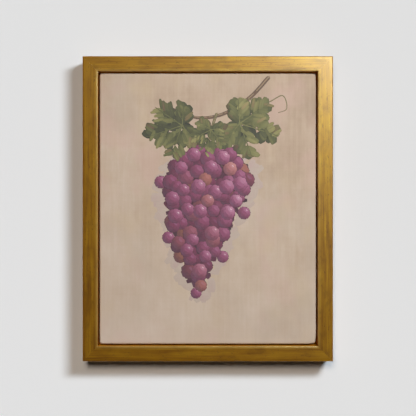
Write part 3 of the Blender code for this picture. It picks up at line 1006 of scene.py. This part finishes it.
print("a grape's lit side is", [round(c, 3) for c in grape_paint(0.4, 0.4, 1.0, 0.0)])

# %% [markdown]
# The bunch is blocked in with dark strokes first, with a thin haze round them that ties it to the
# ground. Its grapes are spread in three tiers. For each one a handful of places is tried and the
# one furthest from its neighbours is kept, which looks grown, where a grid would look woven.

# %% The bunch
BUNCH_HEIGHTS = (-80, -68, -48, -22, 4, 26, 42, 54, 60)
BUNCH_HALVES = (3, 10, 19, 29, 38, 42, 37, 22, 8)


def bunch_half(z):
    return float(np.interp(z, BUNCH_HEIGHTS, BUNCH_HALVES, left=0.0, right=0.0))


def bunch_axis(z):
    """The middle of the bunch sways a little on its way down."""
    return -4 + 0.05 * z + 3.5 * math.sin(z / 26)


def in_bunch(inset):
    """A random place inside the bunch."""
    while True:
        z = BRUSH.uniform(BUNCH_HEIGHTS[0], BUNCH_HEIGHTS[-1] - inset)
        half = bunch_half(z) - inset
        if BRUSH.uniform(0, max(BUNCH_HALVES)) < half:
            return bunch_axis(z) + BRUSH.uniform(-half, half), z


def spread(count, inset):
    """Places that keep apart."""
    chosen = []
    for _ in range(count):
        tries = [in_bunch(inset) for _ in range(12)]
        chosen.append(max(tries, key=lambda p: min((math.dist(p, q) for q in chosen), default=0)))
    return chosen


HAZE_STROKES, DARK_STROKES = 110, 290
# Where the dark mass came out thin: place and direction of one more stroke
THIN_SPOTS = ((13, 36, 0.4), (16, 31, 1.3), (12, 28, 2.2), (19, 35, 2.8), (9, 23, 0.8))


def block_in(bunch):
    """The haze round the bunch and the dark mass under its grapes."""
    for _ in range(HAZE_STROKES):
        z = BRUSH.uniform(BUNCH_HEIGHTS[0] - 4, BUNCH_HEIGHTS[-1] - 6)
        side = BRUSH.choice((-1, 1))
        x = bunch_axis(z) + side * (bunch_half(z) + BRUSH.uniform(-3, 5))
        haze = blend(BLUSH, HAZE, BRUSH.uniform(0.10, 0.75))
        way = BRUSH.uniform(0, math.pi)
        size = (BRUSH.uniform(9, 17), BRUSH.uniform(5, 9))
        bunch.lay(x, z, way, *size, haze, blend(haze, BLUSH, 0.6), blend(haze, BLUSH, 0.75))
    for _ in range(DARK_STROKES):
        x, z = in_bunch(4.5)
        dark = varied(blend(PLUM[0], PLUM[1], BRUSH.uniform(0, 1.2)), 0.12)
        size = (BRUSH.uniform(8, 14), BRUSH.uniform(4, 7))
        bunch.lay(x, z, BRUSH.uniform(0, math.pi), *size, dark, varied(dark, 0.15))
    for x, z, way in THIN_SPOTS:
        bunch.lay(x, z, way, 13, 7, blend(PLUM[0], PLUM[1], 0.5), PLUM[1])


# Grapes that stand out on their own, and three tiers: how many, how far from the edge, how lit
STRAYS = ((-44, 25, 6.4), (34, -4, 6.2), (-37, -27, 6.0), (14, -45, 5.8), (-11, -79, 5.4))
TIERS = ((48, 4.0, 0.46), (38, 5.0, 0.76), (22, 8.0, 1.0))


def bunch_strokes():
    bunch = Strokes()
    block_in(bunch)
    for x, z, radius in STRAYS:
        grape(bunch, x, z, radius, 0.84)
    count = len(STRAYS)
    for number, inset, shade in TIERS:
        for x, z in spread(number, inset):
            aside = (x - bunch_axis(z)) / max(8.0, bunch_half(z))
            light = shade * (0.92 + 0.12 * aside + 0.0007 * z) * BRUSH.uniform(0.94, 1.06)
            grape(bunch, x, z, BRUSH.uniform(6.1, 7.9) * (1 + 0.0008 * z), min(light, 1.08))
            count += 1
    print("grapes:", count)
    return bunch


# %% [markdown]
# A twig or tendril is a row of short strokes along a smooth line through a few points.

# %% Twigs
STEPS_A_SPAN = 14


def smooth_line(points):
    """Places and directions along a Catmull-Rom line through the points."""
    line = [Vector(p) for p in points]
    padded = [line[0], *line, line[-1]]
    spots = []
    for i in range(STEPS_A_SPAN * (len(line) - 1)):
        k, t = divmod(i / STEPS_A_SPAN, 1)
        a, b, c, d = padded[int(k) : int(k) + 4]
        e, f = 2 * a - 5 * b + 4 * c - d, 3 * b - 3 * c + d - a
        spot = 0.5 * (2 * b + (c - a) * t + e * t**2 + f * t**3)
        spots.append((spot, 0.5 * (c - a + 2 * e * t + 3 * f * t**2)))
    return spots


def trail(strokes, points, start_width, end_width, colour):
    """A twig that tapers, with a lit upper edge where it is thick enough."""
    spots = smooth_line(points)
    for i, (spot, way) in enumerate(spots):
        angle = math.atan2(way.y, way.x)
        width = start_width + (end_width - start_width) * i / len(spots)
        long = max(way.length / STEPS_A_SPAN * 2.1, width * 1.2)
        tint, under = varied(colour, 0.14), blend(colour, PLUM[0], 0.3)
        strokes.lay(spot.x, spot.y, angle, long, width, tint, None, under)
        if width > 1.6 and BRUSH.random() < 0.75:
            lit = varied(blend(colour, pigment(206, 176, 134), 0.5), 0.10)
            edge = Vector((0.5, 0.86)) * width * 0.22
            place = (spot.x + edge.x, spot.y + edge.y)
            strokes.lay(*place, angle, long, width * 0.34, lit, None, colour)


print("a twig through 3 points takes", 2 * STEPS_A_SPAN, "strokes")

# %% [markdown]
# A vine leaf has five lobes on five veins. Its outline is the furthest reach of the lobes in each
# direction. The strokes run outwards along the nearest vein, and each half of a lobe has its own
# tone, as a leaf has that is folded a little along its veins.

# %% Vine leaves
GREEN = [
    pigment(41, 41, 21),
    pigment(63, 63, 31),
    pigment(84, 85, 42),
    pigment(110, 109, 57),
    pigment(138, 133, 76),
    pigment(172, 159, 98),
]
VEINS = ((0, 1.0), (52, 0.86), (-52, 0.86), (112, 0.60), (-112, 0.60))


def leaf_reach(angle):
    """How far the leaf reaches in a direction, as a share of its length, and the nearest vein."""
    best, vein = 0.0, 0.0
    for degrees, length in VEINS:
        apart = abs((math.degrees(angle) - degrees + 180) % 360 - 180)
        lobe = length * max(0.0, 1 - (apart / 40) ** 1.7) ** 0.62
        body = length * 0.62 * (1 - apart / 130) if apart < 66 else 0.0
        if max(lobe, body) > best:
            best, vein = max(lobe, body), math.radians(degrees)
    return best, vein


# Each layer of a leaf's strokes: how many, how wide, how much lighter, how far out they begin
LEAF_LAYERS = ((60, 0.20, -0.16, 0.0), (90, 0.13, 0.0, 0.0), (56, 0.075, 0.10, 0.30))


def leaf(strokes, x, z, heading, size, sun):
    """One leaf whose stalk meets it at x, z. Heading is the way its tip points, in degrees."""
    turn = math.radians(heading)

    def spot(angle, distance):
        return x + math.cos(turn + angle) * distance, z + math.sin(turn + angle) * distance

    for count, wide, lighter, least in LEAF_LAYERS:
        for _ in range(count):
            angle = math.radians(BRUSH.uniform(-150, 150))
            reach, vein = leaf_reach(angle)
            share = math.sqrt(BRUSH.uniform(0.02 + least, 1.0))
            side = 1 if angle > vein else -1
            outward = turn + vein + side * math.radians(30 + 18 * share)
            tone = 0.36 + 0.19 * side * math.cos(vein + 0.6) + 0.18 * sun + lighter
            tone += BRUSH.uniform(-0.10, 0.10) + 0.16 * (share - 0.5)
            colour = varied(along_palette(GREEN, tone), 0.08)
            if share > 0.84 and BRUSH.random() < 0.25:
                colour = blend(colour, pigment(146, 92, 74), 0.5)
            place = spot(angle, share * reach * size * 0.90)
            long = size * BRUSH.uniform(0.16, 0.27)
            tip = varied(blend(colour, along_palette(GREEN, tone + 0.2), 0.6), 0.06)
            under = along_palette(GREEN, tone - 0.12)
            strokes.lay(*place, outward, long, wide * size, colour, tip, under)
    for degrees, length in VEINS:
        for step in range(6):
            share = (step + 0.4) / 6
            place = spot(math.radians(degrees), share * length * size * 0.88)
            tone = 0.66 + 0.14 * sun - 0.25 * share
            colour = varied(along_palette(GREEN, tone), 0.10)
            thin = size * (0.026 - 0.014 * share) + 0.25
            way = turn + math.radians(degrees) + BRUSH.uniform(-0.05, 0.05)
            strokes.lay(*place, way, size * length * 0.20, thin, colour, None, GREEN[2])


print("a leaf reaches", [round(leaf_reach(math.radians(a))[0], 2) for a in (0, 26, 52, 112)])

# %% [markdown]
# A cane crosses the top of the picture, and a stalk, a tendril and two leaf stalks grow from it.
# Leaves are laid over the wood, the one at the bottom of the three last, since it hangs in front.


# %% The vine
def vine_strokes():
    vine = Strokes()
    cane = pigment(110, 82, 58)
    trail(vine, [(56, 122), (38, 103), (12, 88), (-14, 86), (-42, 98)], 4.4, 2.4, cane)
    trail(vine, [(8, 88), (4, 76), (0, 56)], 3.0, 2.2, pigment(118, 108, 66))
    trail(vine, [(38, 103), (54, 99), (70, 106), (74, 94), (66, 90)], 1.3, 0.7, pigment(126, 118, 70))
    trail(vine, [(-14, 86), (-22, 76)], 1.8, 1.4, pigment(112, 104, 62))
    trail(vine, [(24, 94), (30, 84)], 1.8, 1.4, pigment(118, 110, 66))
    leaf(vine, 30, 80, -18, 43, 0.8)
    leaf(vine, -24, 78, 198, 40, 0.15)
    leaf(vine, 3, 74, 258, 27, 0.55)
    return vine


# %% [markdown]
# Oil paint is a little glossy where it is thick, and its bristle marks run along the stroke. The
# colour comes from the stroke, the marks from its own UV map.


# %% Oil paint
def oil_paint():
    oil = Finish("oil_paint")
    tint = oil.stored("paint", "Color")
    map_uv = oil.add("UVMap", {"uv_map": "brush"})
    bristles = oil.cloud((0.10, 2.6, 1.0), vector=map_uv)
    ridges = oil.cloud((0.05, 0.9, 1.0), shift=(3.0, 1.0, 0.0), vector=map_uv)
    threads = slubs(oil)
    crust = oil.cloud(700, 3)
    light = (bristles - 0.5) * 0.30 + (ridges - 0.5) * 0.26 + (threads - 0.5) * 0.24
    dark, pale = oil.colour(0.34, tint, (0, 0, 0)), oil.colour(0.16, tint, (1, 1, 1))
    shaded = oil.colour(0.5 + light, dark, pale)
    oil.set(base_color=oil.colour(0.62, tint, shaded), roughness=0.50 + (ridges - 0.5) * 0.25)
    relief = bristles * 0.45 + ridges * 0.45 + weave(oil) * 0.30 + crust * 0.12
    oil.set(normal=oil.bump(relief, 0.24, 0.25 * MM))
    oil.shader.inputs["Specular IOR Level"].default_value = MATT_PAINT
    return oil.material


oil = oil_paint()
for name, layer in (("painted_grapes", bunch_strokes), ("painted_leaves", vine_strokes)):
    strokes = layer()
    mesh = strokes.mesh(name)
    mesh.materials.append(oil)
    add_piece(name, mesh, "oil_paint")
    print(name, len(strokes.rows), "strokes,", triangles(mesh), "triangles")
print(f"paint up to {laid_paint.max():.2f} mm thick")

# %% [markdown]
# ## Wood and metal behind
# The stretcher is planed pine. Pine shows long flames of darker summer wood, finer fibres between
# them, and a knot here and there.


# %% Planed pine
def pine_finish(name, along):
    pine = Finish(name, along)
    x, y, z = pine.axes()
    across = z if along == "X" else x
    sway = pine.grain(6, 22, (1.0, 5.0, 2.0))
    rings = (across + y * 0.6) * 900 + (sway - 0.5) * 44
    swell = rings.sine() * 0.5 + 0.5
    bands = swell.maths("POWER", swell, 1.6)
    fibres = pine.grain(18, 1300, (4.0, 2.0, 6.0), 3)
    pores = pine.grain(90, 2600, (2.0, 7.0, 1.0)).between(0.60, 0.74)
    stain = pine.grain(9, 30, (8.0, 3.0, 4.0), 3)
    knots = pine.grain(17, 26, (0.4, 6.1, 2.9), 1).between(0.735, 0.80)
    tone = bands * 0.24 + fibres * 0.36 + stain * 0.40
    wood = pine.ramp(
        tone,
        [(0.18, srgb(222, 192, 146)), (0.46, srgb(208, 172, 122)), (0.78, srgb(176, 128, 78))],
    )
    wood = pine.colour(pores * 0.35, wood, srgb(146, 100, 58))
    wood = pine.colour(knots * 0.85, wood, srgb(92, 52, 26))
    pine.set(base_color=wood, roughness=0.62 + (fibres - 0.5) * 0.2)
    pine.set(normal=pine.bump(fibres * 0.5 + bands * 0.25 - pores * 0.3, 0.35, 0.25 * MM))
    return pine.material


# %% [markdown]
# Small metal parts are never one clean grey. Zinc has faint crystals and a dull film, brass plate
# has fine lines from rolling and a few tarnished spots, and the wire of staples is drawn, so its
# marks run along it.


# %% Metal and rubber
def metal_finish(name, light, dark, rough, spot, grain=700):
    metal = Finish(name)
    film = metal.cloud(160, 4, 0.6, (2.0, 4.0, 6.0))
    lines = metal.cloud(grain, shift=(1.0, 3.0, 5.0))
    spots = metal.cloud(620, 3, shift=(5.0, 1.0, 3.0)).between(0.60, 0.70)
    colour = metal.ramp(film * 0.6 + lines * 0.4, [(0.30, dark), (0.68, light)])
    colour = metal.colour(spots * 0.55, colour, spot)
    metal.set(
        base_color=colour,
        metallic=1 - spots * 0.35,
        roughness=rough + (film - 0.5) * 0.28 + spots * 0.2,
    )
    metal.set(normal=metal.bump(lines * 0.5 + film * 0.4 - spots * 0.3, 0.22, 0.12 * MM))
    return metal.material


def rubber_finish():
    rubber = Finish("clear_rubber")
    haze = rubber.cloud(300, 3)
    dust = rubber.cloud(1400).between(0.62, 0.72)
    clear = rubber.ramp(haze, [(0.3, srgb(206, 204, 192)), (0.7, srgb(228, 227, 218))])
    rubber.set(
        base_color=rubber.colour(dust * 0.5, clear, srgb(150, 146, 134)),
        roughness=0.22 + dust * 0.4 + (haze - 0.5) * 0.2,
        transmission_weight=0.45,
    )
    rubber.shader.inputs["IOR"].default_value = 1.48
    rubber.set(normal=rubber.bump(haze, 0.2, 0.1 * MM))
    return rubber.material


pine = {"X": pine_finish("pine_across", "X"), "Z": pine_finish("pine_upright", "Z")}
# Light and dark tone, roughness, the tone of the spots, and the grain where it has one
METALS = (
    ("zinc_plate", (0.66, 0.67, 0.68), (0.42, 0.44, 0.47), 0.34, (0.25, 0.24, 0.22)),
    ("brass_plate", (0.80, 0.60, 0.28), (0.60, 0.42, 0.16), 0.30, (0.22, 0.14, 0.06), (60, 900, 900)),
    ("dark_steel", (0.34, 0.34, 0.35), (0.17, 0.17, 0.18), 0.42, (0.16, 0.09, 0.05)),
    ("staple_wire", (0.70, 0.70, 0.70), (0.46, 0.46, 0.47), 0.28, (0.30, 0.26, 0.22)),
)
zinc, brass, steel, wire = [metal_finish(*facts) for facts in METALS]
rubber = rubber_finish()

print("finishes:", [m.name for m in (*pine.values(), zinc, brass, steel, wire, rubber)])

# %% [markdown]
# The bars, staples, nails and screws keep their solids and only get a better finish. It follows
# from the start of a node's name, so that one more staple would be dressed by itself.

# %% Finish the plain nodes
FINISH_OF = (
    ("bar_v_nail", steel),
    ("frame_v_nail", steel),
    ("bar_top", pine["X"]),
    ("bar_bottom", pine["X"]),
    ("bar_", pine["Z"]),
    ("screw_", zinc),
    ("sawtooth", brass),
    ("hanger_nail", brass),
    ("bumper", rubber),
    ("staple", wire),
)
for node, piece in sorted(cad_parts.items()):
    finish = next((f for start, f in FINISH_OF if node.startswith(start)), None)
    if finish:
        for place in piece.material_slots:
            place.material = finish
print("nodes with a finish of their own:", sum(not p.hide_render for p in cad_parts.values()))

# %% [markdown]
# ## Wall, floor and light
# A wall looks evenly grey when light reaches it from all over a room, but here two small lamps
# throw the shadows, and their light falls off. So the lamps are set down first, with a sum of the
# light that they bring to each spot of the wall, and the wall's own paint then makes up for it.


# %% Where the light comes from
MIDDLE = Vector((0, 0, CENTRE_Z))
WARM, COOL, SKY = (1.0, 0.855, 0.718), (0.831, 0.918, 1.0), (0.53, 0.77, 1.0)
# Name, place from the picture's middle, size, watts, tint, and whether it lights and is mirrored
FRONT_LAMPS = (
    ("key", Vector((0.3705, -0.85, 0.352)), (0.31, 0.17), 8.9, COOL, True, False),
    ("fill", Vector((-0.12, -1.60, 0.395)), (0.36, 0.36), 11.6, WARM, True, False),
    ("sheen", Vector((0.36, -0.85, 0.4165)), (0.20, 0.20), 10.0, SKY, False, True),
)
BACK_LAMPS = (
    ("back_left", Vector((-0.9, 1.3, 0.8)), (0.7, 0.7), 9.5, WHITE, True, True),
    ("back_right", Vector((1.1, 1.1, 0.2)), (0.7, 0.7), 5.4, WHITE, True, True),
    ("back_low", Vector((0.1, 1.5, -0.45)), (0.7, 0.7), 3.0, WHITE, True, True),
)
ROOM_LIGHT = 0.008
ROOM_GLOSS = 0.045
WALL_GREY = srgb(225.5, 225.5, 225.5)[0]


def light_on_wall(x, z):
    """What a white wall would show at x, z under the front lamps and the room, as three tones."""
    total = [ROOM_LIGHT] * 3
    for _, place, _, watts, tint, lights, _ in FRONT_LAMPS:
        if not lights:
            continue
        away, reach = -place.y, place.length
        across, up = place.x - x, place.z + CENTRE_Z - z
        square = across * across + up * up + away * away
        facing = (across * place.x + up * place.z + away * away) / reach
        level = facing * (away * watts / math.pi**2) / (square * square)
        total = [light + level * share for light, share in zip(total, tint)]
    return total


print("watts in front:", sum(facts[3] for facts in FRONT_LAMPS))

# %% [markdown]
# The frame hangs on a plain pale wall. A plane is enough, because it is only seen from in front:
# from behind it lets the eye through, so that the back of the frame can be looked at, and it
# keeps no light from it. The floor is a second plane, far below, that only glows in the same grey.


# %% Wall and floor
STAGE_SIZE = 9.0
FLOOR_DROP = 1.3


def plaster_finish(name, evened):
    """Matt plaster. The wall is toned against the falling light, so that it shows one even grey."""
    plaster = Finish(name)
    x, _, z = plaster.axes()
    grey = WALL_GREY + (plaster.cloud(420, 3) - 0.5) * 0.012
    parts = [grey / light for light in light_on_wall(x, z)] if evened else [grey] * 3
    tint = plaster.add("CombineColor", None, dict(enumerate(parts)))
    if evened:
        plaster.set(base_color=tint, roughness=0.95)
    else:
        plaster.set(base_color=(0.0, 0.0, 0.0), emission_color=tint, emission_strength=1.0)
    plaster.shader.inputs["Specular IOR Level"].default_value = 0.0
    behind = plaster.add("NewGeometry", None, None, "Backfacing")
    clear = plaster.add("BsdfTransparent")
    seen = plaster.add("MixShader", None, {0: behind, 2: clear})
    plaster.links.new(plaster.shader.outputs[0], seen.socket.node.inputs[1])
    plaster.links.new(seen.socket, plaster.nodes["Material Output"].inputs["Surface"])
    return plaster.material


def stage_plane(name, place, evened):
    """A plane of the stage. It throws no shadow and no light back on the frame."""
    bm = bmesh.new()
    bmesh.ops.create_grid(bm, x_segments=1, y_segments=1, size=STAGE_SIZE / 2, matrix=place)
    mesh = mesh_from(bm, name)
    mesh.materials.append(plaster_finish(name, evened))
    plane = new_object(name, mesh)
    plane.visible_shadow = False
    plane.visible_diffuse = False
    plane.visible_glossy = evened


standing = Matrix.Translation(MIDDLE) @ Matrix.Rotation(math.pi / 2, 4, "X")
stage_plane("wall", standing, True)
stage_plane("floor", Matrix.Translation((0, 0, CENTRE_Z - FLOOR_DROP)), False)
print("wall and floor:", STAGE_SIZE, "m square")

# %% [markdown]
# The shadow tells where the light is. One lamp at the upper right throws the wide soft shadow to
# the left and below. A weaker one from straight in front, a little above, fills that shadow and
# leaves only the narrow dark band under the frame. Lamps behind the wall light the back.


# %% Lamps and room
def lamp(name, place, size, watts, tint, lights, mirrored):
    data = bpy.data.lights.new(name, "AREA")
    data.shape = "ELLIPSE"
    data.size, data.size_y = size
    data.energy = watts
    data.color = tint
    made = new_object(name, data)
    made.location = MIDDLE + place
    made.rotation_euler = (-place).to_track_quat("-Z", "Y").to_euler()
    made.visible_diffuse = lights
    made.visible_glossy = mirrored


for facts in FRONT_LAMPS + BACK_LAMPS:
    lamp(*facts)


def studio_room():
    """A pale room to the eye, a dim one to matt things, and in between for a mirror."""
    room = bpy.data.worlds.new("room")
    room.use_nodes = True
    nodes, links = room.node_tree.nodes, room.node_tree.links
    ray = nodes.new("ShaderNodeLightPath")
    level = None
    for output, bright in (("Is Glossy Ray", ROOM_GLOSS), ("Is Camera Ray", WALL_GREY)):
        mix = nodes.new("ShaderNodeMix")
        links.new(ray.outputs[output], mix.inputs[0])
        mix.inputs[2].default_value = ROOM_LIGHT
        mix.inputs[3].default_value = bright
        if level:
            links.new(level, mix.inputs[2])
        level = mix.outputs[0]
    backdrop = nodes["Background"]
    backdrop.inputs["Color"].default_value = (*WHITE, 1.0)
    links.new(level, backdrop.inputs["Strength"])
    return room


bpy.context.scene.world = studio_room()
bpy.context.scene.view_settings.view_transform = "Standard"

# %% [markdown]
# The picture in the photograph is seen square on. A longer lens a metre away keeps the four sides
# of the frame straight and shows a hair of their inner walls, as it does there.

# %% Camera
EYE = Vector((0.0002, -0.9519, CENTRE_Z + 0.0007))
lens = bpy.data.cameras.new("camera")
lens.lens = 85
lens.sensor_width = 36
camera = new_object("camera", lens)
camera.location = EYE
camera.rotation_euler = (math.pi / 2, 0, 0)
bpy.context.scene.camera = camera
print(f"camera {-EYE.y:.2f} m from the wall, with a {lens.lens:.0f} mm lens")
